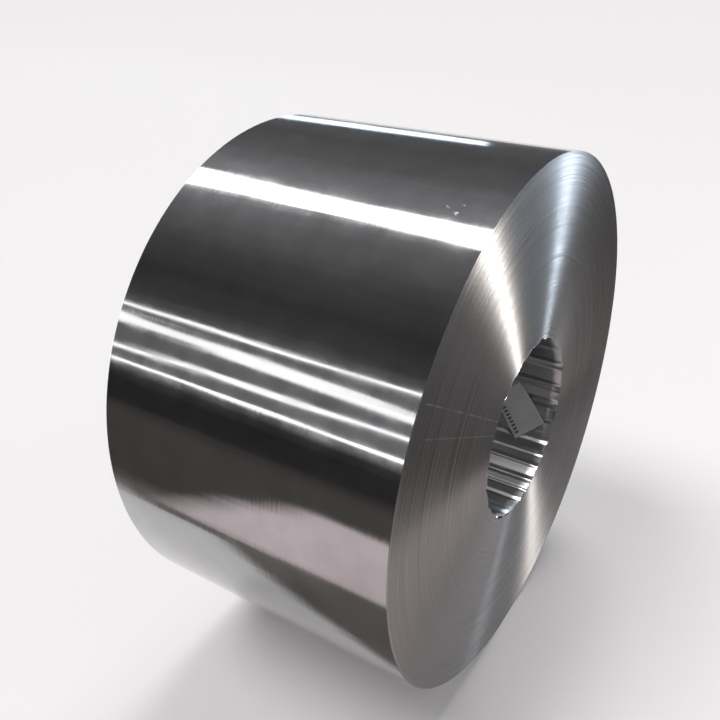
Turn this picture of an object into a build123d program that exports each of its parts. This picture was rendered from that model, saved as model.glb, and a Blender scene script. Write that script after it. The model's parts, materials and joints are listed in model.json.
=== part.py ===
"""A wound coil of bright thin steel strip, lying on its side with its eye level.

+X runs along the eye toward the end that is seen, +Z is up, and the origin is on the floor under the
middle of the coil. Angles round the eye start at +Y and grow toward +Z.
"""

import os
from math import cos, radians, sin

from build123d import *

# Driving sizes of the coil
strip_width = 804.0
outer_radius = 730.0
eye_radius = 254.0

# The lap where the last turn ends, low on the back
lap_step = 0.5
lap_angle = -40.0

# The innermost turn: ridges that reach the eye radius, with ripples between them
first_ridge_angle = 40.0
ridge_pitches = (
    13, 20, 15, 15, 7, 17, 7, 10, 12, 9, 11, 13, 15,
    13, 10, 16, 14, 14, 15, 10, 16, 14, 11, 14, 18, 13, 18,
)  # fmt: skip
land_share = 0.55
ripple_depth_share = 0.20
ripple_blend_radius = 8.0

# The ridges where the innermost turn has sprung away from the next one, and the gap behind them
sprung_ridges = (6, 8, 9, 10, 12, 13, 19)
inner_turn_thickness = 1.2
gap_depth = 5.5
gap_reach_share = 0.6

# Bands of turns that were wound short of the near end: how far out in the winding the band starts,
# as a share of it, how wide the band is and how short
shy_bands = (
    (0.12, 10.0, 0.5),
    (0.34, 18.0, 0.4),
    (0.55, 24.0, 0.6),
    (0.73, 5.0, 1.0),
    (0.87, 4.0, 0.8),
)

# The card that lies against the wall of the eye, turned out of line with it
card_length = 148.0
card_width = 105.0
card_thickness = 0.5
card_clearance = 0.2
card_turn = 45.0
card_inset = 115.0
card_angle = -25.0

# Every turn is as wide as the strip, so a band that is short at one end is proud at the other
most_shy = max(shortfall for share, breadth, shortfall in shy_bands)
coil_length = strip_width + most_shy
eye_axis = Axis((0, 0, outer_radius), (1, 0, 0))
lengthwise = Plane(origin=(0, 0, outer_radius), x_dir=(1, 0, 0), z_dir=(0, -1, 0))
near_end = Plane(origin=(coil_length / 2, 0, outer_radius), x_dir=(0, 1, 0), z_dir=(1, 0, 0))
far_end = near_end.offset(-strip_width)


def ring_point(radius, angle):
    """A point of the coil's section, at a radius and an angle round the eye."""
    return (radius * cos(radians(angle)), radius * sin(radians(angle)))


def band_start(share):
    """The radius that lies a share of the way out through the winding."""
    return eye_radius + share * (outer_radius - eye_radius)


# Ridge angles, going down the back of the eye from the first one
ridge_angles = [first_ridge_angle]
for pitch in ridge_pitches:
    ridge_angles.append(ridge_angles[-1] - pitch)


def land_edges(ridge):
    """The angles where the land of a ridge starts and ends."""
    start = ridge_angles[ridge] + land_share * ridge_pitches[ridge - 1] / 2
    end = ridge_angles[ridge] - land_share * ridge_pitches[ridge] / 2
    return start, end


def trough_half_angle(ridge):
    """Half of the angle that the ripple after a ridge takes."""
    return (1 - land_share) * ridge_pitches[ridge] / 2


def trough_depth(ridge):
    """How far the ripple after a ridge goes outward of the eye radius."""
    return ripple_depth_share * 2 * radians(trough_half_angle(ridge)) * eye_radius


def gap_end_radius(ridge):
    """Where the back of the innermost turn lies, a share of the way into the ripple after a ridge."""
    depth_there = trough_depth(ridge) * (1 - (1 - gap_reach_share) ** 2)
    return eye_radius + depth_there + inner_turn_thickness


# The coil: all of its turns as one solid, with the edge of the last turn as a small step
with BuildPart() as steel_coil:
    with BuildSketch(far_end):
        with BuildLine():
            first_half = ThreePointArc(
                ring_point(outer_radius - lap_step, lap_angle),
                ring_point(outer_radius - lap_step * 3 / 4, lap_angle + 90),
                ring_point(outer_radius - lap_step / 2, lap_angle + 180),
            )
            second_half = ThreePointArc(
                first_half @ 1,
                ring_point(outer_radius - lap_step / 4, lap_angle + 270),
                ring_point(outer_radius, lap_angle),
            )
            Line(second_half @ 1, first_half @ 0)
        make_face()
    extrude(amount=strip_width)

    # Bands of turns: short of the near end, and as far proud of the other end
    with BuildSketch(lengthwise):
        for share, breadth, shortfall in shy_bands:
            with Locations((coil_length / 2, band_start(share))):
                Rectangle(shortfall, breadth, align=(Align.MAX, Align.MIN))
    revolve(axis=eye_axis, mode=Mode.SUBTRACT)
    with BuildSketch(lengthwise):
        for share, breadth, shortfall in shy_bands:
            with Locations((coil_length / 2 - strip_width, band_start(share))):
                Rectangle(shortfall, breadth, align=(Align.MAX, Align.MIN))
    revolve(axis=eye_axis)

    # The eye, with the lands and ripples of the innermost turn
    ridges = range(len(ridge_pitches))
    land_starts = [ring_point(eye_radius, land_edges(ridge)[0]) for ridge in ridges]
    land_ends = [ring_point(eye_radius, land_edges(ridge)[1]) for ridge in ridges]
    with BuildSketch(far_end) as eye:
        with BuildLine():
            for ridge in ridges:
                start, end = land_edges(ridge)
                crest = ring_point(eye_radius, (start + end) / 2)
                trough = ring_point(
                    eye_radius + trough_depth(ridge), end - trough_half_angle(ridge)
                )
                ThreePointArc(land_starts[ridge], crest, land_ends[ridge])
                ThreePointArc(land_ends[ridge], trough, land_starts[ridge - len(ridges) + 1])
        make_face()
        fillet(eye.vertices(), radius=ripple_blend_radius)
    extrude(amount=strip_width, mode=Mode.SUBTRACT)

    # The long thin gaps behind the sprung ridges, open at both ends of the coil
    with BuildSketch(far_end):
        for ridge in sprung_ridges:
            start, end = land_edges(ridge)
            first = ring_point(
                gap_end_radius(ridge - 1), start + gap_reach_share * trough_half_angle(ridge - 1)
            )
            last = ring_point(
                gap_end_radius(ridge), end - gap_reach_share * trough_half_angle(ridge)
            )
            crest = (start + end) / 2
            back_of_turn = eye_radius + inner_turn_thickness
            with BuildLine():
                ThreePointArc(first, ring_point(back_of_turn, crest), last)
                ThreePointArc(last, ring_point(back_of_turn + gap_depth, crest), first)
            make_face()
    extrude(amount=strip_width, mode=Mode.SUBTRACT)
steel_coil.part.label = "steel_coil"

# The card: stiff paper that bends to the eye and bridges from ridge to ridge
card_outside = eye_radius - card_clearance
card_middle = Plane(
    origin=(coil_length / 2 - card_inset, 0, outer_radius),
    x_dir=(1, 0, 0),
    z_dir=(0, cos(radians(card_angle)), sin(radians(card_angle))),
)
with BuildPart() as label_card:
    with BuildSketch(near_end.offset(-card_inset)):
        Circle(card_outside)
        Circle(card_outside - card_thickness, mode=Mode.SUBTRACT)
    extrude(amount=card_length, both=True)
    with BuildSketch(card_middle):
        Rectangle(card_length, card_width, rotation=card_turn)
    extrude(amount=eye_radius, mode=Mode.INTERSECT)
label_card.part.label = "label_card"

os.makedirs("parts", exist_ok=True)
export_step(steel_coil.part, "parts/steel_coil.step")
export_step(label_card.part, "parts/label_card.step")
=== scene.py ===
"""Dresses the wound steel coil: its turns, the rippled innermost turn, the card in its eye and a studio.

Everything is in metres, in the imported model's own frame: +X runs along the eye toward the end that is
seen, +Z is up, and the floor is at zero. Angles round the eye start at +Y and grow toward +Z.
"""

import json
from math import atan2, cos, degrees, hypot, pi, radians, sin, tan

import bmesh
import bpy
from bpy.props import FloatProperty, FloatVectorProperty, IntProperty, PointerProperty
from mathutils import Matrix, Vector, noise


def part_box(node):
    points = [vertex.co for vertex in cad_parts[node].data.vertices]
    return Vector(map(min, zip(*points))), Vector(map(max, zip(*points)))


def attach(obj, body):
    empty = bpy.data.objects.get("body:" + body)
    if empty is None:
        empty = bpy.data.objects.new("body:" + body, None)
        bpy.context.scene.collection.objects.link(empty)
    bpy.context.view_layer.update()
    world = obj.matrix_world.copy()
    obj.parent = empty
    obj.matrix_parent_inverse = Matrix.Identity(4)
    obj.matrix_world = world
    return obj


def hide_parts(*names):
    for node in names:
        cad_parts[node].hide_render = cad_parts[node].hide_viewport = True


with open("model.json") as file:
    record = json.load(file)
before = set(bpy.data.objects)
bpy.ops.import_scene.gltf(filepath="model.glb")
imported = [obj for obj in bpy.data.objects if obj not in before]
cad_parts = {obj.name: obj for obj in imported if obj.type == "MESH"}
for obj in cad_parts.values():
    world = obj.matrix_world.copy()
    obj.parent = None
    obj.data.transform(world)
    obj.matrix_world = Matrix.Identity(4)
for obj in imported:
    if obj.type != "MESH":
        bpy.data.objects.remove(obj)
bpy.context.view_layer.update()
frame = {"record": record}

bl_info = {
    "name": "Steel coil",
    "version": (1, 0, 0),
    "blender": (4, 5, 0),
    "location": "3D View > Sidebar > Coil",
    "description": "Wound coil of bright steel strip with a rippled eye, on a studio floor",
    "category": "Add Mesh",
}

BODY = "root"
MM = 0.001

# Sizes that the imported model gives
coil_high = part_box("steel_coil")[1]
eye_mount = next(mount for mount in frame["record"]["mounts"] if mount["name"] == "eye")
EYE_RADIUS = eye_mount["dims"]["r_mm"] * MM
EYE_HEIGHT = eye_mount["pos_m"][2]
STRIP_WIDTH = eye_mount["dims"]["length_mm"] * MM
NEAR_END = coil_high[0]
OUTER_RADIUS = coil_high[2] - EYE_HEIGHT

# The innermost turn, as in the model: the first ridge, and the angle from each ridge to the next
FIRST_RIDGE_ANGLE = 40.0
RIDGE_PITCHES = (
    13, 20, 15, 15, 7, 17, 7, 10, 12, 9, 11, 13, 15,
    13, 10, 16, 14, 14, 15, 10, 16, 14, 11, 14, 18, 13, 18,
)
LAND_SHARE = 0.55
RIPPLE_DEPTH_SHARE = 0.20
SPRUNG_RIDGES = (6, 8, 9, 10, 12, 13, 19)
GAP_REACH_SHARE = 0.6
GAP_DEPTH = 5.5 * MM
INNER_TURN_THICKNESS = 1.2 * MM

# What the fine ripples add: how much wider they spread, how far they wander and fade along the eye,
# with a step of each wave from ridge to ridge and its pace along the eye
RIPPLE_SPREAD = 1.2
RIPPLE_WANDER, WANDER_WAVE = 0.25, (2.1, 3.0)
RIPPLE_FADE, FADE_WAVE = 0.22, (1.7, 4.3)
# What a sprung gap keeps of the ripple at its ends, how deep the ripples reach into the winding, and
# how thick the innermost turn is drawn
GAP_END_SHARE = 0.6
RIPPLE_REACH = 45 * MM
SHEET_THICKNESS = 0.6 * MM
# Steps along the eye of the winding's bore and of the innermost turn
BORE_STEPS, INNER_STEPS = 10, 26

# The lap where the outermost turn ends, as in the model: its angle, its step, and the degrees over
# which it steps
LAP_ANGLE = -40.0
LAP_STEP = 0.5 * MM
LAP_BREADTH = 0.05
# How near to the outside a point belongs to the outermost turn, and how near to the eye a face
# belongs to the bore
RIM = 2 * MM
BORE_MARGIN = 1.05

# The card: its angle round the eye and how far it is turned, in degrees, its distance inside the
# ridges, how far its raised corner and its waves lift, and its steps along and across
CARD_ANGLE = -25.0
CARD_TURN = 45.0
CARD_CLEARANCE = 0.7 * MM
CARD_CORNER_LIFT = 4.0 * MM
CARD_WAVE, CARD_WAVE_RATE = 1.0 * MM, 60
CARD_STEPS = (30, 22)

# Bands of turns that end short of the near end, as in the model
SHY_BANDS = ((0.12, 10.0, 0.5), (0.34, 18.0, 0.4), (0.55, 24.0, 0.6), (0.73, 5.0, 1.0), (0.87, 4.0, 0.8))
# How clear the other groups of turns stay of a band, how they crowd outward, and the noise that makes
# them uneven
BAND_CLEARANCE = 2 * MM
RING_CROWDING = 0.9
RING_NOISE_SCALE, RING_NOISE_PLACE = 37.0, (0.3, 0.7)

# How bright the dim room is, by the angle from the back horizon over the top to the front one
ROOM_GLOW = (
    (0, 0.20), (8, 0.12), (30, 0.12), (50, 0.18), (62, 0.32), (72, 0.42), (82, 0.32), (90, 0.22),
    (98, 0.17), (110, 0.10), (125, 0.055), (138, 0.08), (144, 0.20), (172, 0.25), (176, 0.05), (180, 0.03),
)
# How much bluer than grey the room is
ROOM_BLUE = 1.03

# The front windows' wall, their ends, the two places where their angles are given, the height of the
# steel that shows them and its distance from their wall
WINDOW_WALL = -6.0
WINDOW_ENDS = (-12.0, 2.0)
WINDOW_LEFT, WINDOW_RIGHT = -5.8, -2.0
MIRROR_HEIGHT = 1.09
MIRROR_TO_WALL = 5.37

# Scratches on the near end, from one point to another measured from the eye's axis, and their gaps
FACE_SCRATCHES = (
    ((0.0, -0.581, 0.395), (0.0, -0.215, 0.143), 25.0),
    ((0.0, -0.578, 0.31), (0.0, -0.233, 0.112), 90.0),
)
# Small dents in the outermost turn, measured from the eye's axis
MANTLE_DENTS = ((0.278, -0.281, 0.674), (0.306, -0.295, 0.668), (0.311, -0.27, 0.678))
STRIP_THICKNESS = 0.5 * MM
# Roughness at its least and most, how far highlights stretch, and the painted shade that darkens the inner
# turn's colour in the eye
MANTLE_GLOSS, MANTLE_STRETCH = (0.06, 0.11), 0.5
INNER_GLOSS, INNER_STRETCH, INNER_PAINTED_SHADE = (0.29, 0.32), 0.88, 0.78
EDGE_GLOSS, EDGE_STRETCH = (0.37, 0.41), 1.0
# Where a noise starts to show and where it shows fully
NARROW_NOISE, BROAD_NOISE = (0.35, 0.65), (0.3, 0.7)
WHOLE_NOISE, RARE_NOISE = (0.25, 0.75), (0.48, 0.62)
# The rolled face: how fine its marks are along the eye and across it
GRAIN_SCALE, STREAK_SCALE = (520.0, 3.0, 3.0), (150.0, 2.0, 2.0)
BAND_SCALE, CLOUD_SCALE, SMUDGE_SCALE = (0.5, 9.0, 9.0), (2.0, 3.0, 3.0), 16.0
# How strongly and how deeply its marks show as relief
BAND_RELIEF, STREAK_RELIEF, GRAIN_RELIEF = (0.28, 0.004), (0.16, 0.0008), (0.06, 0.0004)
# A dent: its relief, its radius, and how fine and how far its outline is ragged
DENT_RELIEF, DENT_RADIUS = (0.22, 0.0010), 0.0055
DENT_GRAIN, DENT_RAGGEDNESS = 160.0, 0.014
# How bright clouds and smudges are, how far smudges cover the face, and how dull the grain makes it
CLOUD_SHADE, SMUDGE_SHADE, SMUDGE_COVER, GRAIN_DULLNESS = 0.82, 0.6, 0.25, 0.02
# The slit edges: how bright the darker, rubbed and scratched ones are, how many are rubbed together
# and how few of these groups, how fine the broad rings and the rubbed patches are, and how all lean
EDGE_SHADE, RUBBED_SHADE, SCRATCH_SHADE = 0.86, 1.2, 2.2
LAPS_IN_GROUP, UNRUBBED_SHARE = 6, 0.86
RING_SCALE, PATCH_SCALE = 60.0, 3.0
LAP_LEAN, BROAD_LEAN, MIDDLE_LEAN = 0.8, 0.3, 0.48
# A scratch: half its width, the part of it that is full, where it breaks, and how much of it shows at
# a break and elsewhere
SCRATCH_HALF_WIDTH, SCRATCH_CORE = 0.0022, 0.4
SCRATCH_BREAKS, SCRATCH_COVER = (0.40, 0.60), (0.05, 0.8)
# The card's row of marks, in shares of the card: its two sides, its two ends, how many marks a whole
# row would have, and the gap's share of each
MARK_ROW, MARK_ENDS, MARK_COUNT, MARK_GAP = (0.80, 0.92), (0.08, 0.94), 12.0, 0.42
# The card's stains and fibres
STAIN_SHADE, STAIN_SCALE = 0.88, 28.0
FIBRE_SCALE, FIBRE_RELIEF = 900.0, (0.3, 0.0002)

# Colours of the long lamps, which only shiny surfaces show
NEUTRAL = (1.0, 1.0, 1.0)
WARM = (1.0, 0.97, 0.94)
COOL = (0.74, 0.86, 1.0)
# The way to each soft lamp, which lights only matt surfaces, its spread in degrees, and the back
# lamp's share of the key
KEY_WAY, KEY_SPREAD = (-0.34, -0.26, 0.85), 28
BACK_WAY, BACK_SPREAD, BACK_SHARE = (-0.10, 0.48, 0.85), 26, 0.8
FILL_WAY, FILL_SPREAD = (0.5, -0.7, 0.55), 40

# Half the floor's length
FLOOR_REACH = 60.0
# The floor's parts, each with the two places between which its edge fades. The pale part holds all
# that the picture shows, so its edges follow the picture's: its lower one leans by PICTURE_LEAN, its
# right one by PICTURE_SIDE_LEAN, and left of the coil its front one spreads. Elsewhere the floor is
# painted dark, a painted shade that the steel shows as dark reflections, with a rose sheet before the coil.
PALE_FRONT_EDGE = (-1.13, -1.11)
PALE_LOWER_EDGE, PICTURE_LEAN = (-0.80, -0.71), 0.6
PALE_RIGHT_EDGE, PICTURE_SIDE_LEAN = (1.12, 1.40), 0.193
PALE_SPREAD_START, PALE_SPREAD = -0.9, 0.45
SHEET_FRONT_EDGE, SHEET_BACK_EDGE = (-2.64, -2.42), (-1.25, -1.20)
SHEET_LEFT_EDGE, SHEET_RIGHT_EDGE = (-1.05, -0.80), (1.5, 2.0)
BESIDE_COIL_EDGE = (0.42, 0.52)
# Painted shade outside the picture: its edge and share where it lightens toward the coil's front, its edge
# behind the coil, and its edge and share where it darkens far in front
SHADE_EDGE, BACK_EDGE, FAR_EDGE = (-1.45, -1.30), (-0.1, 0.4), (-7.0, -4.0)
SHADE_SHARE, FAR_SHARE = 2.6, 0.3

# The camera, fitted to the photograph: its axes, its place in outer radii from the middle of the
# near end, and how far the picture is shifted, in pixels of a 720 pixel picture
PICTURE_PIXELS = 720
CAMERA_RIGHT = (0.857, 0.5156, 0.0)
CAMERA_BACK = (0.440, -0.731, 0.5216)
CAMERA_PLACE = (0.7866, -2.2343, 1.5848)
PICTURE_SHIFT = (-40, 30)


def front_window(name, left, right, breadth, share):
    """A long lamp in degrees: how high the steel shows it at its left and right, and its breadth."""
    left_z, right_z = (MIRROR_HEIGHT + MIRROR_TO_WALL * tan(radians(angle)) for angle in (left, right))
    slope = (right_z - left_z) / (WINDOW_RIGHT - WINDOW_LEFT)
    start, end = ((x, WINDOW_WALL, left_z + slope * (x - WINDOW_LEFT)) for x in WINDOW_ENDS)
    width = MIRROR_TO_WALL / cos(radians(left)) * radians(breadth)
    return name, start, end, width, share, NEUTRAL


# The long lamps: name, start, end, width, share of brightness, colour
LONG_LAMPS = (
    ("overhead_strip", (-9.0, 1.17, 5.2), (5.5, -0.05, 5.2), 0.7, 1.0, NEUTRAL),
    front_window("front_window_top", 35.5, 35.5, 0.9, 0.9),
    front_window("front_window_broad", 28.2, 25.2, 4.4, 0.45),
    front_window("front_window_third", 15.4, 17.2, 1.2, 0.7),
    front_window("front_window_low", 8.0, 8.1, 1.5, 0.8),
    ("back_window", (-14.0, 9.0, 2.65), (-3.8, 9.0, 2.65), 1.4, 0.5, COOL),
    ("warm_side_strip", (3.0, 0.66, 5.2), (4.6, 2.43, 2.0), 0.35, 12.0, WARM),
    ("side_haze", (3.7, 2.2, 3.3), (2.8, 5.4, 1.5), 1.0, 0.50, COOL),
    ("cool_side_strip", (2.5, 6.6, 1.8), (2.7, 6.6, 0.1), 0.45, 6.2, COOL),
    ("end_panel", (7.0, 0.2, 0.9), (7.0, 0.2, 4.9), 3.5, 0.11, NEUTRAL),
)


class CoilSizes(bpy.types.PropertyGroup):
    """Sizes of the coil's fine relief."""

    segments: IntProperty(
        name="Segments", description="Steps of each turn round the coil", default=480, min=96, max=720
    )
    ring_count: IntProperty(
        name="End rings", description="Groups of turns that show on each end", default=46, min=8, max=80
    )
    ring_jitter: FloatProperty(
        name="Ring unevenness", description="How far groups of turns stand from flush",
        default=0.12 * MM, min=0.0, max=1.0 * MM, unit="LENGTH",
    )
    edge_round: FloatProperty(
        name="Edge round", description="Round of the outer turn's two edges",
        default=0.8 * MM, min=0.0, max=5.0 * MM, unit="LENGTH",
    )
    band_share: FloatProperty(
        name="Band relief", description="How much of the model's band steps the fine turns keep",
        default=0.4, min=0.0, max=1.0,
    )
    card_length: FloatProperty(
        name="Card length", description="Long side of the card", default=0.148, unit="LENGTH"
    )
    card_width: FloatProperty(
        name="Card width", description="Short side of the card", default=0.105, unit="LENGTH"
    )
    card_thickness: FloatProperty(
        name="Card thickness", description="Thickness of the card", default=0.5 * MM, unit="LENGTH"
    )


class CoilFinish(bpy.types.PropertyGroup):
    """Colours and gloss of the coil."""

    strip_colour: FloatVectorProperty(
        name="Strip", description="Colour of the rolled face", subtype="COLOR", default=(0.50, 0.50, 0.505)
    )
    edge_colour: FloatVectorProperty(
        name="Strip edges", description="Colour of the slit edges on the ends", subtype="COLOR",
        default=(0.26, 0.253, 0.249),
    )
    card_colour: FloatVectorProperty(
        name="Card", description="Colour of the card", subtype="COLOR", default=(0.31, 0.308, 0.306)
    )
    print_colour: FloatVectorProperty(
        name="Card marks", description="Colour of the marks on the card", subtype="COLOR",
        default=(0.06, 0.06, 0.06),
    )


class CoilStage(bpy.types.PropertyGroup):
    """The floor, the lamps and the view."""

    floor_colour: FloatVectorProperty(
        name="Floor", description="Colour of the pale floor round the coil", subtype="COLOR",
        default=(0.88, 0.86, 0.86),
    )
    # The floor outside the picture is painted dark: painted shade that the steel shows as dark reflections
    painted_shade_floor_colour: FloatVectorProperty(
        name="Far floor", description="Colour of the dark floor outside the picture", subtype="COLOR",
        default=(0.072, 0.066, 0.061),
    )
    front_sheet_colour: FloatVectorProperty(
        name="Front sheet", description="Colour of the sheet on the floor before the coil", subtype="COLOR",
        default=(0.88, 0.76, 0.775),
    )
    key_strength: FloatProperty(
        name="Key light", description="Strength of the soft key light", default=1.4, min=0.0
    )
    fill_strength: FloatProperty(
        name="Fill light", description="Strength of the soft fill light", default=0.85, min=0.0
    )
    strip_strength: FloatProperty(
        name="Strip lights", description="Brightness of the strip lights as the steel shows them",
        default=5.0, min=0.0,
    )
    focal_pixels: FloatProperty(
        name="Focal length", description="Focal length in pixels of a 720 pixel picture", default=747.0
    )


def ridge_table():
    """The angles of each ridge's land, and the ripple after it."""
    rows = []
    angle = FIRST_RIDGE_ANGLE
    for index, pitch in enumerate(RIDGE_PITCHES):
        start = angle + LAND_SHARE * RIDGE_PITCHES[index - 1] / 2
        end = angle - LAND_SHARE * pitch / 2
        half = (1 - LAND_SHARE) * pitch / 2
        depth = RIPPLE_DEPTH_SHARE * 2 * radians(half) * EYE_RADIUS
        rows.append({"start": start, "end": end, "half": half, "depth": depth, "trough": end - half})
        angle -= pitch
    return rows


RIDGES = ridge_table()


def turn_between(angle, middle):
    """The signed angle from the middle to an angle, between -180 and 180 degrees."""
    return (angle - middle + 180) % 360 - 180


def wave(steps, index, along):
    """A wave along the eye that differs from ridge to ridge, from -1 to 1."""
    ridge_step, pace = steps
    return sin(ridge_step * index + pace * along)


def ripple(angle, along):
    """How far the innermost turn lies outward of the eye radius, at an angle and a place along the eye."""
    deepest = 0.0
    for index, row in enumerate(RIDGES):
        wander = RIPPLE_WANDER * row["half"] * wave(WANDER_WAVE, index, along)
        offset = turn_between(angle, row["trough"] + wander) / (row["half"] * RIPPLE_SPREAD)
        if abs(offset) < 1:
            fade = 1.0 - RIPPLE_FADE * (0.5 + 0.5 * wave(FADE_WAVE, index, along))
            deepest = max(deepest, fade * row["depth"] * cos(offset * pi / 2) ** 2)
    return deepest


def sprung_gap(angle):
    """How far the next turn lies behind the innermost one where that has sprung away."""
    deepest = 0.0
    for index in SPRUNG_RIDGES:
        row, before = RIDGES[index], RIDGES[index - 1]
        crest = (row["start"] + row["end"]) / 2
        reach = (row["start"] - row["end"]) / 2 + GAP_REACH_SHARE * (row["half"] + before["half"]) / 2
        offset = turn_between(angle, crest) / reach
        if abs(offset) < 1:
            deepest = max(deepest, GAP_DEPTH * (1 - offset**2) + GAP_END_SHARE * row["depth"] * offset**2)
    return deepest


def polar(vertex):
    """A vertex's distance from the eye's axis and its angle round it, in degrees."""
    up = vertex.co.z - EYE_HEIGHT
    return hypot(vertex.co.y, up), degrees(atan2(up, vertex.co.y))


def set_polar(vertex, radius, angle):
    """Moves a vertex across the eye to a radius and an angle."""
    vertex.co.y = radius * cos(radians(angle))
    vertex.co.z = EYE_HEIGHT + radius * sin(radians(angle))


def spin_profile(bm, profile, steps, start_angle=0.0):
    """Turns a line of (x, radius) points once round the eye's axis."""
    direction = Vector((0, cos(radians(start_angle)), sin(radians(start_angle))))
    centre = Vector((0, 0, EYE_HEIGHT))
    points = [bm.verts.new(Vector((x, 0, 0)) + centre + direction * radius) for x, radius in profile]
    edges = [bm.edges.new(pair) for pair in zip(points, points[1:])]
    bmesh.ops.spin(
        bm, geom=points + edges, cent=centre, axis=(1, 0, 0), angle=2 * pi, steps=steps,
        use_merge=True, use_duplicate=False,
    )
    bmesh.ops.remove_doubles(bm, verts=bm.verts, dist=1e-6)


def make_piece(bm, name, materials, slot, *nodes):
    """Turns a bmesh into a piece that rides on the coil and stands for CAD nodes."""
    if not bm.faces:
        raise RuntimeError(f"{name} has no faces")
    mesh = bpy.data.meshes.new(name)
    bm.normal_update()
    bm.to_mesh(mesh)
    bm.free()
    for material in materials:
        mesh.materials.append(material)
    piece = bpy.data.objects.new(name, mesh)
    bpy.context.scene.collection.objects.link(piece)
    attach(piece, BODY)
    if nodes:
        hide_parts(*nodes)
    return piece


def smooth_with_corners(piece, corner_angle):
    """Shades a piece smooth, apart from edges that turn by more than an angle in degrees."""
    piece.data.polygons.foreach_set("use_smooth", [True] * len(piece.data.polygons))
    piece.data.set_sharp_from_angle(angle=radians(corner_angle))


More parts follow.
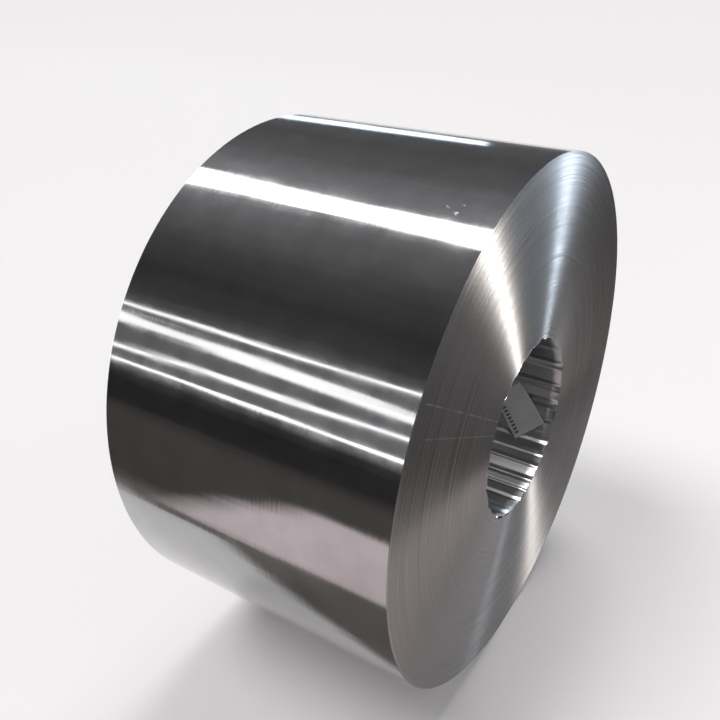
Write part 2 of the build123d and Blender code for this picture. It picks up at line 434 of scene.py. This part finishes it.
class Nodes:
    """A short way to write a material's nodes."""

    def __init__(self, name):
        self.material = bpy.data.materials.new(name)
        self.material.use_nodes = True
        self.tree = self.material.node_tree
        self.tree.nodes.clear()
        self.output = self.add("ShaderNodeOutputMaterial")

    def add(self, kind, **settings):
        node = self.tree.nodes.new(kind)
        for name, value in settings.items():
            setattr(node, name, value)
        return node

    def link(self, source, target):
        self.tree.links.new(source, target)

    def feed(self, socket, value):
        """Links a socket to another, or sets its value."""
        if isinstance(value, bpy.types.NodeSocket):
            self.link(value, socket)
        else:
            socket.default_value = value

    def math(self, operation, *values):
        node = self.add("ShaderNodeMath", operation=operation)
        for socket, value in zip(node.inputs, values):
            self.feed(socket, value)
        return node.outputs[0]

    def product(self, first, *others):
        for other in others:
            first = self.math("MULTIPLY", first, other)
        return first

    def vector(self, operation, *values, output=0):
        node = self.add("ShaderNodeVectorMath", operation=operation)
        for socket, value in zip(node.inputs, values):
            self.feed(socket, value)
        return node.outputs[output]

    def coordinates(self):
        return self.add("ShaderNodeTexCoord").outputs["Object"]

    def stretched(self, vector, scale):
        node = self.add("ShaderNodeMapping")
        self.link(vector, node.inputs["Vector"])
        node.inputs["Scale"].default_value = scale
        return node.outputs[0]

    def noise(self, vector, scale, detail=2.0, roughness=0.5, dimensions="3D"):
        node = self.add("ShaderNodeTexNoise", noise_dimensions=dimensions)
        if dimensions == "1D":
            self.feed(node.inputs["W"], vector)
        else:
            self.feed(node.inputs["Vector"], vector)
        node.inputs["Scale"].default_value = scale
        node.inputs["Detail"].default_value = detail
        node.inputs["Roughness"].default_value = roughness
        return node.outputs["Fac"]

    def rise(self, value, edge):
        """Goes from 0 to 1 as a value crosses an edge."""
        return self.remap(value, *edge, 0.0, 1.0)

    def fall(self, value, edge):
        """Goes from 1 to 0 as a value crosses an edge."""
        return self.remap(value, *edge, 1.0, 0.0)

    def inside(self, value, span):
        """1 where a value lies inside a span, or else 0."""
        low, high = span
        return self.product(self.math("GREATER_THAN", value, low), self.math("LESS_THAN", value, high))

    def remap(self, value, low, high, new_low, new_high, smooth=False):
        node = self.add("ShaderNodeMapRange", interpolation_type="SMOOTHSTEP" if smooth else "LINEAR")
        self.feed(node.inputs["Value"], value)
        for name, number in (
            ("From Min", low), ("From Max", high), ("To Min", new_low), ("To Max", new_high)
        ):
            self.feed(node.inputs[name], number)
        return node.outputs[0]

    def mix(self, factor, first, second):
        """Goes from the first colour to the second; a mix node has sockets of other kinds before these."""
        node = self.add("ShaderNodeMix", data_type="RGBA")
        self.feed(node.inputs["Factor"], factor)
        for socket, colour in zip(node.inputs[6:8], (first, second)):
            self.feed(socket, colour if isinstance(colour, bpy.types.NodeSocket) else (*colour, 1.0))
        return node.outputs[2]

    def bump(self, height, strength, distance, normal=None):
        node = self.add("ShaderNodeBump")
        node.inputs["Strength"].default_value = strength
        node.inputs["Distance"].default_value = distance
        self.link(height, node.inputs["Height"])
        if normal is not None:
            self.link(normal, node.inputs["Normal"])
        return node.outputs[0]

    def surface(self, **inputs):
        shader = self.add("ShaderNodeBsdfPrincipled")
        for name, value in inputs.items():
            socket = shader.inputs[name.replace("_", " ").title()]
            if isinstance(value, tuple) and len(value) == 3:
                value = (*value, 1.0)
            self.feed(socket, value)
        self.link(shader.outputs[0], self.output.inputs["Surface"])
        return self.material

    def scratch(self, place, start, end, gap_scale):
        """A broken line from one point to another, as 0 to 1."""
        length = (Vector(end) - Vector(start)).length
        along = (Vector(end) - Vector(start)).normalized()
        across = Vector((1, 0, 0)).cross(along)
        offset = self.vector("SUBTRACT", place, start)
        travel = self.vector("DOT_PRODUCT", offset, along, output="Value")
        aside = self.math("ABSOLUTE", self.vector("DOT_PRODUCT", offset, across, output="Value"))
        gaps = self.noise(self.math("MULTIPLY", travel, gap_scale), 1.0, dimensions="1D")
        broken = self.remap(gaps, *SCRATCH_BREAKS, *SCRATCH_COVER)
        line = self.fall(aside, (SCRATCH_CORE * SCRATCH_HALF_WIDTH, SCRATCH_HALF_WIDTH))
        return self.product(line, broken, self.inside(travel, (0.0, length)))

    def dents(self, place, centres):
        """Small ragged dents, as 0 to 1."""
        depth = None
        ragged = self.add("ShaderNodeTexNoise")
        self.link(place, ragged.inputs["Vector"])
        ragged.inputs["Scale"].default_value = DENT_GRAIN
        shift = self.vector("SUBTRACT", ragged.outputs["Color"], (0.5, 0.5, 0.5))
        place = self.vector("ADD", place, self.vector("MULTIPLY", shift, (DENT_RAGGEDNESS,) * 3))
        for centre in centres:
            away = self.vector("DISTANCE", place, centre, output="Value")
            dent = self.remap(away, 0.0, DENT_RADIUS, 1.0, 0.0, smooth=True)
            depth = dent if depth is None else self.math("MAXIMUM", depth, dent)
        return depth

    def to_world(self, vector):
        """A direction of the coil as a direction of the scene, for normals and tangents."""
        node = self.add(
            "ShaderNodeVectorTransform", vector_type="VECTOR", convert_from="OBJECT", convert_to="WORLD"
        )
        self.feed(node.inputs[0], vector)
        return node.outputs[0]

    def round_the_eye(self):
        """Where the surface is: from the eye's axis, the distance to it, and the way out from it."""
        across = self.add("ShaderNodeMapping")
        self.link(self.coordinates(), across.inputs["Vector"])
        across.inputs["Location"].default_value = (0, 0, -EYE_HEIGHT)
        flat = self.vector("MULTIPLY", across.outputs[0], (0, 1, 1))
        distance = self.vector("LENGTH", flat, output="Value")
        return across.outputs[0], distance, self.vector("NORMALIZE", flat)


def shade(colour, share):
    """A colour at a share of its brightness."""
    return tuple(share * part for part in colour)


def rolled_face_material(colour, name, gloss, anisotropy, wear=1.0, dents=()):
    """The rolled face of the strip: bright, with grain round the coil and faint flatness waves."""
    n = Nodes(name)
    place = n.round_the_eye()[0]
    grain = n.noise(n.stretched(place, GRAIN_SCALE), 1.0, detail=3.0)
    streaks = n.noise(n.stretched(place, STREAK_SCALE), 1.0)
    bands = n.noise(n.stretched(place, BAND_SCALE), 1.0, detail=3.0, roughness=0.55)
    clouds = n.noise(n.stretched(place, CLOUD_SCALE), 1.0, detail=4.0)
    smudges = n.noise(place, SMUDGE_SCALE, detail=5.0)
    tone = n.mix(n.rise(clouds, NARROW_NOISE), shade(colour, CLOUD_SHADE), colour)
    smudged = n.remap(smudges, *NARROW_NOISE, SMUDGE_COVER * wear, 0.0)
    tone = n.mix(smudged, tone, shade(colour, SMUDGE_SHADE))
    normal = None
    for marks, relief in ((bands, BAND_RELIEF), (streaks, STREAK_RELIEF), (grain, GRAIN_RELIEF)):
        normal = n.bump(marks, relief[0] * wear, relief[1], normal)
    if dents:
        normal = n.bump(n.math("SUBTRACT", 1.0, n.dents(place, dents)), *DENT_RELIEF, normal)
    dullness = n.remap(grain, *WHOLE_NOISE, 0.0, GRAIN_DULLNESS)
    return n.surface(
        base_color=tone,
        metallic=1.0,
        roughness=n.math("ADD", n.remap(smudges, *BROAD_NOISE, *gloss), dullness),
        anisotropic=anisotropy,
        tangent=n.to_world((1.0, 0.0, 0.0)),
        normal=normal,
    )


def strip_edge_material(colour):
    """The ends of the coil: thousands of slit edges, each leaning its own way, with a few scratches."""
    n = Nodes("strip_edges")
    place, distance, outward = n.round_the_eye()
    lap = n.add("ShaderNodeTexWhiteNoise", noise_dimensions="1D")
    n.link(n.math("FLOOR", n.math("DIVIDE", distance, STRIP_THICKNESS)), lap.inputs["W"])
    group = n.add("ShaderNodeTexWhiteNoise", noise_dimensions="1D")
    n.link(n.math("FLOOR", n.math("DIVIDE", distance, LAPS_IN_GROUP * STRIP_THICKNESS)), group.inputs["W"])
    rings = n.product(distance, RING_SCALE)
    broad = n.noise(rings, 1.0, detail=3.0, roughness=0.6, dimensions="1D")
    patches = n.noise(place, PATCH_SCALE, detail=3.0)
    tone = n.mix(n.rise(broad, BROAD_NOISE), shade(colour, EDGE_SHADE), colour)
    picked = n.math("GREATER_THAN", group.outputs["Value"], UNRUBBED_SHARE)
    tone = n.mix(n.product(picked, n.rise(patches, RARE_NOISE)), tone, shade(colour, RUBBED_SHADE))
    along = n.vector("DOT_PRODUCT", place, (1.0, 0.0, 0.0), output="Value")
    near_end = n.math("GREATER_THAN", along, 0.0)
    for start, end, gap_scale in FACE_SCRATCHES:
        line = n.product(n.scratch(place, start, end, gap_scale), near_end)
        tone = n.mix(line, tone, shade(colour, SCRATCH_SHADE))
    lean = n.math("ADD", n.product(lap.outputs["Value"], LAP_LEAN), n.product(broad, BROAD_LEAN))
    lean = n.math("SUBTRACT", lean, MIDDLE_LEAN)
    leaning = n.add("ShaderNodeVectorMath", operation="SCALE")
    n.link(n.to_world(outward), leaning.inputs[0])
    n.link(lean, leaning.inputs["Scale"])
    flat = n.add("ShaderNodeNewGeometry").outputs["Normal"]
    return n.surface(
        base_color=tone,
        metallic=1.0,
        roughness=n.remap(broad, *BROAD_NOISE, *EDGE_GLOSS),
        anisotropic=EDGE_STRETCH,
        tangent=n.to_world(outward),
        normal=n.vector("NORMALIZE", n.vector("ADD", flat, leaning.outputs[0])),
    )


def card_material(colour, marks):
    """Grey card with one row of plain dark marks along a long edge."""
    n = Nodes("card_stock")
    place = n.add("ShaderNodeUVMap", uv_map="card").outputs[0]
    parts = n.add("ShaderNodeSeparateXYZ")
    n.link(place, parts.inputs[0])
    u, v = parts.outputs[0], parts.outputs[1]
    fibre = n.noise(n.coordinates(), FIBRE_SCALE, detail=3.0)
    stains = n.noise(n.coordinates(), STAIN_SCALE, detail=3.0)
    tone = n.mix(n.rise(stains, BROAD_NOISE), shade(colour, STAIN_SHADE), colour)
    beat = n.math("GREATER_THAN", n.math("FRACT", n.product(u, MARK_COUNT)), MARK_GAP)
    inked = n.product(n.inside(v, MARK_ROW), beat, n.inside(u, MARK_ENDS))
    return n.surface(
        base_color=n.mix(inked, tone, marks),
        roughness=0.75,
        normal=n.bump(fibre, *FIBRE_RELIEF),
    )


def end_profile(sizes, end):
    """The (x, radius) points of one end, from the outside to the eye, with its bands and ring steps."""
    wall = EYE_RADIUS + INNER_TURN_THICKNESS
    build_up = OUTER_RADIUS - EYE_RADIUS
    shares = [(k / sizes.ring_count) ** RING_CROWDING for k in range(sizes.ring_count)]
    edges = [wall + (OUTER_RADIUS - wall) * share for share in shares]
    for share, breadth, _ in SHY_BANDS:
        inner = EYE_RADIUS + share * build_up
        outer = inner + breadth * MM
        start, stop = inner - BAND_CLEARANCE, outer + BAND_CLEARANCE
        edges = [radius for radius in edges if not start < radius < stop] + [inner, outer]
    edges = sorted(edges) + [OUTER_RADIUS - sizes.edge_round]
    points = []
    for inner, outer in zip(edges, edges[1:]):
        middle = (inner + outer) / 2
        unevenness = noise.noise(Vector((middle * RING_NOISE_SCALE, *RING_NOISE_PLACE)))
        short = sizes.ring_jitter * (0.5 + 0.5 * unevenness)
        for share, breadth, shortfall in SHY_BANDS:
            band = EYE_RADIUS + share * build_up
            if band < middle < band + breadth * MM:
                short = shortfall * sizes.band_share * MM
        if outer == edges[-1] or inner == edges[0]:
            short = 0.0
        x = NEAR_END - short if end == "near" else NEAR_END - STRIP_WIDTH - short
        points += [(x, inner), (x, outer)]
    return points[::-1]


class COIL_OT_wound_turns(bpy.types.Operator):
    """Makes all of the coil's turns but the innermost one, with the rings on both ends"""

    bl_idname = "coil.wound_turns"
    bl_label = "Wound turns"

    def execute(self, context):
        sizes, finish = context.scene.coil_sizes, context.scene.coil_finish
        near = end_profile(sizes, "near")
        far = end_profile(sizes, "far")
        wall = near[-1][1]
        bore = [
            (near[-1][0] + (far[-1][0] - near[-1][0]) * k / BORE_STEPS, wall) for k in range(1, BORE_STEPS)
        ]
        mantle = [(far[0][0] + sizes.edge_round, OUTER_RADIUS), (NEAR_END - sizes.edge_round, OUTER_RADIUS)]
        profile = mantle + near + bore + far[::-1] + mantle[:1]
        bm = bmesh.new()
        spin_profile(bm, profile, sizes.segments, LAP_ANGLE)
        self.shape_eye(bm, wall)
        self.shape_lap(bm, sizes)
        bmesh.ops.recalc_face_normals(bm, faces=bm.faces)
        for face in bm.faces:
            radius = hypot(face.calc_center_median().y, face.calc_center_median().z - EYE_HEIGHT)
            on_end = abs(face.normal.x) > 0.5 or wall * BORE_MARGIN < radius < OUTER_RADIUS - RIM
            face.material_index = 1 if on_end else 0
        materials = [
            rolled_face_material(
                finish.strip_colour[:], "rolled_face", MANTLE_GLOSS, MANTLE_STRETCH, dents=MANTLE_DENTS
            ),
            strip_edge_material(finish.edge_colour[:]),
        ]
        piece = make_piece(bm, "wound_turns", materials, "bright_strip", "steel_coil")
        smooth_with_corners(piece, corner_angle=30)
        return {"FINISHED"}

    def shape_eye(self, bm, wall):
        """Carries the ripples of the innermost turn into the turns behind it, fading outward."""
        calm = wall + RIPPLE_REACH
        for vertex in bm.verts:
            radius, angle = polar(vertex)
            if radius < calm - MM:
                pushed = max(ripple(angle, vertex.co.x), sprung_gap(angle))
                share = (calm - radius) / (calm - wall)
                set_polar(vertex, radius + pushed * share, angle)

    def shape_lap(self, bm, sizes):
        """Lets the outermost turn grow from the lap, where it ends in a small step."""
        column = 360 / sizes.segments
        for vertex in bm.verts:
            radius, angle = polar(vertex)
            if radius > OUTER_RADIUS - RIM:
                travelled = (angle - LAP_ANGLE) % 360
                if travelled > 360 - column / 2:
                    travelled = 0.0
                if travelled > 360 - 1.5 * column:
                    angle = LAP_ANGLE - LAP_BREADTH
                    travelled = 360.0
                set_polar(vertex, radius - LAP_STEP * (1 - travelled / 360), angle)


class COIL_OT_inner_turn(bpy.types.Operator):
    """Makes the innermost turn, a thin strip that ripples in the eye and has sprung away in places"""

    bl_idname = "coil.inner_turn"
    bl_label = "Innermost turn"

    def execute(self, context):
        sizes, finish = context.scene.coil_sizes, context.scene.coil_finish
        far = NEAR_END - STRIP_WIDTH
        profile = [
            (NEAR_END - (NEAR_END - far) * k / INNER_STEPS, EYE_RADIUS) for k in range(INNER_STEPS + 1)
        ]
        bm = bmesh.new()
        spin_profile(bm, profile, sizes.segments)
        for vertex in bm.verts:
            radius, angle = polar(vertex)
            set_polar(vertex, radius + ripple(angle, vertex.co.x), angle)
        bmesh.ops.recalc_face_normals(bm, faces=bm.faces)
        bm.normal_update()
        inward = sum(
            1 for face in bm.faces
            if face.normal.y * face.calc_center_median().y
            + face.normal.z * (face.calc_center_median().z - EYE_HEIGHT) < 0
        )
        if inward < len(bm.faces) / 2:
            bmesh.ops.reverse_faces(bm, faces=bm.faces)
        # The inner turn takes a darker copy of the strip's colour: painted shade inside the eye
        dim = shade(finish.strip_colour, INNER_PAINTED_SHADE)
        materials = [rolled_face_material(dim, "inner_face", INNER_GLOSS, INNER_STRETCH, wear=0.0)]
        piece = make_piece(bm, "inner_turn", materials, "bright_strip")
        wall = piece.modifiers.new("thickness", "SOLIDIFY")
        wall.thickness = SHEET_THICKNESS
        wall.offset = -1.0
        smooth_with_corners(piece, corner_angle=35)
        return {"FINISHED"}


class COIL_OT_label_card(bpy.types.Operator):
    """Makes the card that lies against the ridges of the eye, turned out of line with it"""

    bl_idname = "coil.label_card"
    bl_label = "Card in the eye"

    def execute(self, context):
        sizes, finish = context.scene.coil_sizes, context.scene.coil_finish
        low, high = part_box("label_card")
        middle_x = (low[0] + high[0]) / 2
        bm = bmesh.new()
        bm.loops.layers.uv.new("card")
        long_steps, short_steps = CARD_STEPS
        bmesh.ops.create_grid(bm, x_segments=long_steps, y_segments=short_steps, size=0.5, calc_uvs=True)
        for vertex in bm.verts:
            vertex.co.x *= sizes.card_length
            vertex.co.y *= sizes.card_width
        turn = Matrix.Rotation(radians(CARD_TURN), 3, "Z")
        bmesh.ops.rotate(bm, verts=bm.verts, cent=(0, 0, 0), matrix=turn)
        radius = EYE_RADIUS - CARD_CLEARANCE
        half = hypot(sizes.card_length, sizes.card_width) / 2
        for vertex in bm.verts:
            along, across = vertex.co.x, vertex.co.y
            reach = along / half
            lift = CARD_CORNER_LIFT * max(0.0, reach) ** 3
            lift += CARD_WAVE * sin(CARD_WAVE_RATE * across) ** 2 * reach**2
            angle = radians(CARD_ANGLE) - across / EYE_RADIUS
            vertex.co = Vector((
                middle_x + along,
                (radius - lift) * cos(angle),
                EYE_HEIGHT + (radius - lift) * sin(angle),
            ))
        bmesh.ops.recalc_face_normals(bm, faces=bm.faces)
        materials = [card_material(finish.card_colour[:], finish.print_colour[:])]
        piece = make_piece(bm, "label_card_printed", materials, "card", "label_card")
        wall = piece.modifiers.new("thickness", "SOLIDIFY")
        wall.thickness = sizes.card_thickness
        wall.offset = 0.0
        smooth_with_corners(piece, corner_angle=40)
        return {"FINISHED"}


class COIL_OT_stage(bpy.types.Operator):
    """Makes the floor, the room, the lamps and the camera"""

    bl_idname = "coil.stage"
    bl_label = "Studio and camera"

    def execute(self, context):
        stage = context.scene.coil_stage
        self.make_floor(stage)
        self.make_world()
        self.make_lamps(stage)
        self.make_camera(stage)
        context.scene.view_settings.view_transform = "Standard"
        if context.scene.camera is None:
            raise RuntimeError("the stage has no camera")
        return {"FINISHED"}

    def make_floor(self, stage):
        """A floor that is pale where the picture shows it, and else rose or painted with dark shade for the
        steel to mirror.
        """
        n = Nodes("pale_floor")
        parts = n.add("ShaderNodeSeparateXYZ")
        n.link(n.coordinates(), parts.inputs[0])
        x, y = parts.outputs[0], parts.outputs[1]
        # Painted shade: the floor's dark colour outside the picture, which the steel mirrors as dark
        # reflections
        dark = tuple(stage.painted_shade_floor_colour[:])
        tone = n.mix(n.rise(y, FAR_EDGE), shade(dark, FAR_SHARE), dark)
        tone = n.mix(n.rise(y, SHADE_EDGE), tone, shade(dark, SHADE_SHARE))
        clear_of_coil = n.math("MAXIMUM", n.fall(y, SHEET_BACK_EDGE), n.rise(x, BESIDE_COIL_EDGE))
        on_sheet = n.product(
            clear_of_coil,
            n.rise(y, SHEET_FRONT_EDGE),
            n.rise(x, SHEET_LEFT_EDGE),
            n.fall(x, SHEET_RIGHT_EDGE),
        )
        tone = n.mix(on_sheet, tone, tuple(stage.front_sheet_colour[:]))
        tone = n.mix(n.rise(y, BACK_EDGE), tone, dark)
        left_of_coil = n.math("MAXIMUM", n.math("SUBTRACT", PALE_SPREAD_START, x), 0.0)
        front_start, front_end = PALE_FRONT_EDGE
        front_edge = (n.math("SUBTRACT", front_start, n.product(left_of_coil, PALE_SPREAD)), front_end)
        in_picture = n.product(
            n.rise(y, front_edge),
            n.rise(n.math("SUBTRACT", y, n.product(x, PICTURE_LEAN)), PALE_LOWER_EDGE),
            n.fall(n.math("ADD", x, n.product(y, PICTURE_SIDE_LEAN)), PALE_RIGHT_EDGE),
        )
        tone = n.mix(in_picture, tone, tuple(stage.floor_colour[:]))
        n.surface(base_color=tone, roughness=0.9)
        bm = bmesh.new()
        bmesh.ops.create_grid(bm, x_segments=1, y_segments=1, size=FLOOR_REACH)
        mesh = bpy.data.meshes.new("floor")
        bm.to_mesh(mesh)
        bm.free()
        mesh.materials.append(n.material)
        floor = bpy.data.objects.new("floor", mesh)
        bpy.context.scene.collection.objects.link(floor)

    def make_world(self):
        """A dim room, as bright below the horizon as above, that changes from the back to the front."""
        world = bpy.data.worlds.new("studio_room")
        bpy.context.scene.world = world
        world.use_nodes = True
        tree = world.node_tree
        background = tree.nodes["Background"]
        place = tree.nodes.new("ShaderNodeTexCoord")
        parts = tree.nodes.new("ShaderNodeSeparateXYZ")
        angle = tree.nodes.new("ShaderNodeMath")
        angle.operation = "ARCTAN2"
        turn = tree.nodes.new("ShaderNodeMath")
        turn.operation = "DIVIDE"
        turn.inputs[1].default_value = pi
        ramp = tree.nodes.new("ShaderNodeValToRGB")
        tree.links.new(place.outputs["Generated"], parts.inputs[0])
        height = tree.nodes.new("ShaderNodeMath")
        height.operation = "ABSOLUTE"
        tree.links.new(parts.outputs[2], height.inputs[0])
        tree.links.new(height.outputs[0], angle.inputs[0])
        tree.links.new(parts.outputs[1], angle.inputs[1])
        tree.links.new(angle.outputs[0], turn.inputs[0])
        tree.links.new(turn.outputs[0], ramp.inputs[0])
        tree.links.new(ramp.outputs[0], background.inputs["Color"])
        elements = ramp.color_ramp.elements
        for degree, glow in ROOM_GLOW[1:-1]:
            elements.new(degree / 180)
        for element, (degree, glow) in zip(sorted(elements, key=lambda e: e.position), ROOM_GLOW):
            element.color = (glow, glow, ROOM_BLUE * glow, 1)
        background.inputs["Strength"].default_value = 1.0

    def make_strip(self, name, start, end, width, brightness, colour):
        """A flat lamp from one point to another that only glossy surfaces show, facing the coil."""
        start, end = Vector(start), Vector(end)
        lamp = bpy.data.lights.new(name, "AREA")
        lamp.shape = "RECTANGLE"
        lamp.size, lamp.size_y = (end - start).length, width
        lamp.energy = brightness * pi * lamp.size * lamp.size_y
        lamp.color = colour
        holder = bpy.data.objects.new(name, lamp)
        bpy.context.scene.collection.objects.link(holder)
        place = (start + end) / 2
        side = (end - start).normalized()
        back = place - Vector((0, 0, EYE_HEIGHT))
        back = (back - side * back.dot(side)).normalized()
        up = back.cross(side)
        holder.matrix_world = Matrix.Translation(place) @ Matrix((side, up, back)).transposed().to_4x4()
        holder.visible_diffuse = False
        holder.visible_camera = False

    def make_sun(self, name, strength, soft_angle, direction):
        """A soft lamp far away that lights matt surfaces only."""
        sun = bpy.data.lights.new(name, "SUN")
        sun.energy = strength
        sun.angle = radians(soft_angle)
        holder = bpy.data.objects.new(name, sun)
        bpy.context.scene.collection.objects.link(holder)
        holder.rotation_euler = Vector(direction).to_track_quat("Z", "Y").to_euler()
        holder.visible_glossy = False

    def make_lamps(self, stage):
        """The soft lamps for matt surfaces and the long lamps for the steel."""
        self.make_sun("soft_key", stage.key_strength, KEY_SPREAD, KEY_WAY)
        self.make_sun("soft_back", BACK_SHARE * stage.key_strength, BACK_SPREAD, BACK_WAY)
        self.make_sun("soft_fill", stage.fill_strength, FILL_SPREAD, FILL_WAY)
        for name, start, end, width, share, colour in LONG_LAMPS:
            self.make_strip(name, start, end, width, share * stage.strip_strength, colour)

    def make_camera(self, stage):
        """The camera at the photograph's place and angle."""
        camera = bpy.data.cameras.new("photo_view")
        camera.sensor_width = 36.0
        camera.lens = stage.focal_pixels * camera.sensor_width / PICTURE_PIXELS
        camera.shift_x, camera.shift_y = (pixels / PICTURE_PIXELS for pixels in PICTURE_SHIFT)
        camera.clip_end = 200.0
        holder = bpy.data.objects.new("photo_view", camera)
        bpy.context.scene.collection.objects.link(holder)
        back = Vector(CAMERA_BACK).normalized()
        up = back.cross(Vector(CAMERA_RIGHT).normalized()).normalized()
        right = up.cross(back).normalized()
        place = Vector((NEAR_END, 0, EYE_HEIGHT)) + OUTER_RADIUS * Vector(CAMERA_PLACE)
        holder.matrix_world = Matrix.Translation(place) @ Matrix((right, up, back)).transposed().to_4x4()
        bpy.context.scene.camera = holder


class COIL_PT_panel(bpy.types.Panel):
    """Lists the coil's sizes, finishes and pieces"""

    bl_label = "Steel coil"
    bl_idname = "COIL_PT_panel"
    bl_space_type = "VIEW_3D"
    bl_region_type = "UI"
    bl_category = "Coil"

    def draw(self, context):
        for group in (context.scene.coil_sizes, context.scene.coil_finish, context.scene.coil_stage):
            box = self.layout.box()
            for name in group.__annotations__:
                box.prop(group, name)
        for operator in OPERATORS:
            self.layout.operator(operator.bl_idname)


OPERATORS = (COIL_OT_wound_turns, COIL_OT_inner_turn, COIL_OT_label_card, COIL_OT_stage)
CLASSES = (CoilSizes, CoilFinish, CoilStage, *OPERATORS, COIL_PT_panel)


def register():
    for item in CLASSES:
        bpy.utils.register_class(item)
    bpy.types.Scene.coil_sizes = PointerProperty(type=CoilSizes)
    bpy.types.Scene.coil_finish = PointerProperty(type=CoilFinish)
    bpy.types.Scene.coil_stage = PointerProperty(type=CoilStage)


def unregister():
    del bpy.types.Scene.coil_sizes
    del bpy.types.Scene.coil_finish
    del bpy.types.Scene.coil_stage
    for item in reversed(CLASSES):
        bpy.utils.unregister_class(item)


def main():
    register()
    bpy.ops.coil.wound_turns()
    bpy.ops.coil.inner_turn()
    bpy.ops.coil.label_card()
    bpy.ops.coil.stage()


if __name__ == "__main__":
    main()
